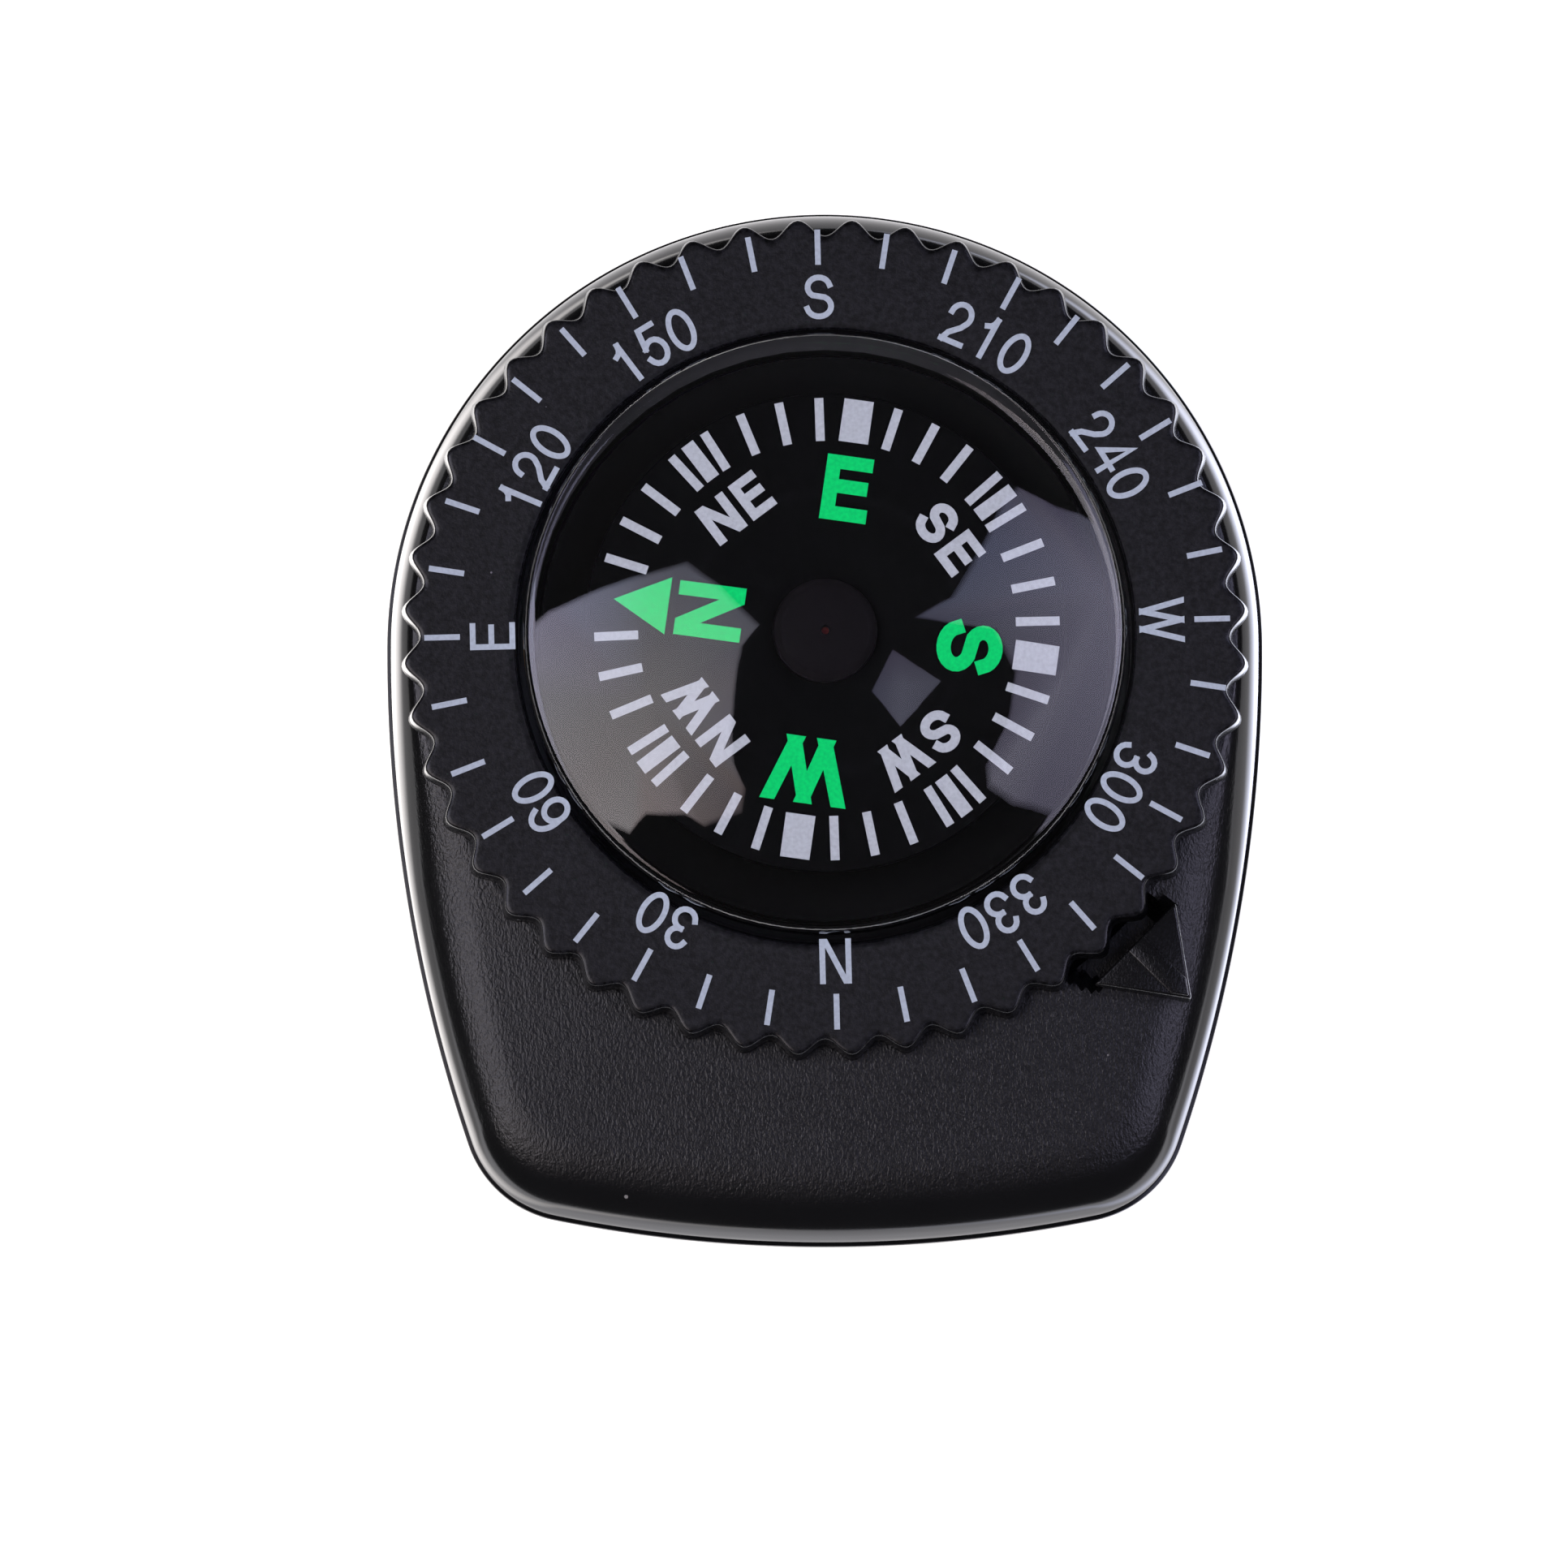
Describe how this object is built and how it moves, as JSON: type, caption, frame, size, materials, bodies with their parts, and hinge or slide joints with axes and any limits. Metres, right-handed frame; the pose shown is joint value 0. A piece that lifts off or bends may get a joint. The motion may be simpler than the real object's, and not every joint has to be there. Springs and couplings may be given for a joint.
{
  "type": "strap clip compass",
  "caption": "Liquid-filled compass capsule in a moulded case, with a scalloped rotating bezel and a sprung clip for a watch strap.",
  "frame": {"origin": "on the compass axis, in the plane of the clip lever's flat underside", "axes": "+Z along the compass axis, up through the dome; +Y to the case's round end and the mouth of the clip; -Y to the thumb end"},
  "size_m": [0.028, 0.0333, 0.013],
  "materials": {
    "case_abs": "fine moulded grain, satin on the edges",
    "bezel_abs": "matt, glossy on the scalloped edge",
    "clear_acrylic": "clear, polished",
    "capsule_black": "smooth",
    "card_black": "matt",
    "rubber": "matt",
    "jewel": "polished",
    "brass": "turned",
    "steel": "bright zinc",
    "magnet": "bare ferrite"
  },
  "bodies": {
    "case": {"case_shell": "case_abs", "base_plate": "case_abs", "base_screw_1": "steel", "base_screw_2": "steel", "base_screw_3": "steel", "drag_ring": "rubber", "capsule_dome": "clear_acrylic", "capsule_base": "capsule_black", "capsule_gasket": "rubber", "expansion_diaphragm": "rubber", "filler_plug": "brass", "pivot_pin": "steel", "hinge_pin": "steel", "clip_spring": "steel"},
    "bezel": {"bezel_ring": "bezel_abs"},
    "card": {"card_disc": "card_black", "card_hub": "capsule_black", "jewel_cup": "jewel", "card_magnet": "magnet"},
    "clip": {"clip_lever": "case_abs"}
  },
  "joints": [
    {"name": "bezel_turn", "type": "hinge", "parent": "case", "child": "bezel", "pos_m": [0, 0, 0.009], "axis": [0, 0, 1], "continuous": true},
    {"name": "card_turn", "type": "hinge", "parent": "case", "child": "card", "pos_m": [0, 0, 0.0096], "axis": [0, 0, 1], "continuous": true},
    {"name": "clip_hinge", "type": "hinge", "parent": "case", "child": "clip", "pos_m": [0, -0.007, 0.003], "axis": [-1, 0, 0], "range_deg": [0, 12], "stiffness_Nm_per_rad": 0.17, "springref_deg": -20.05, "deforming": ["clip_spring"]}
  ]
}
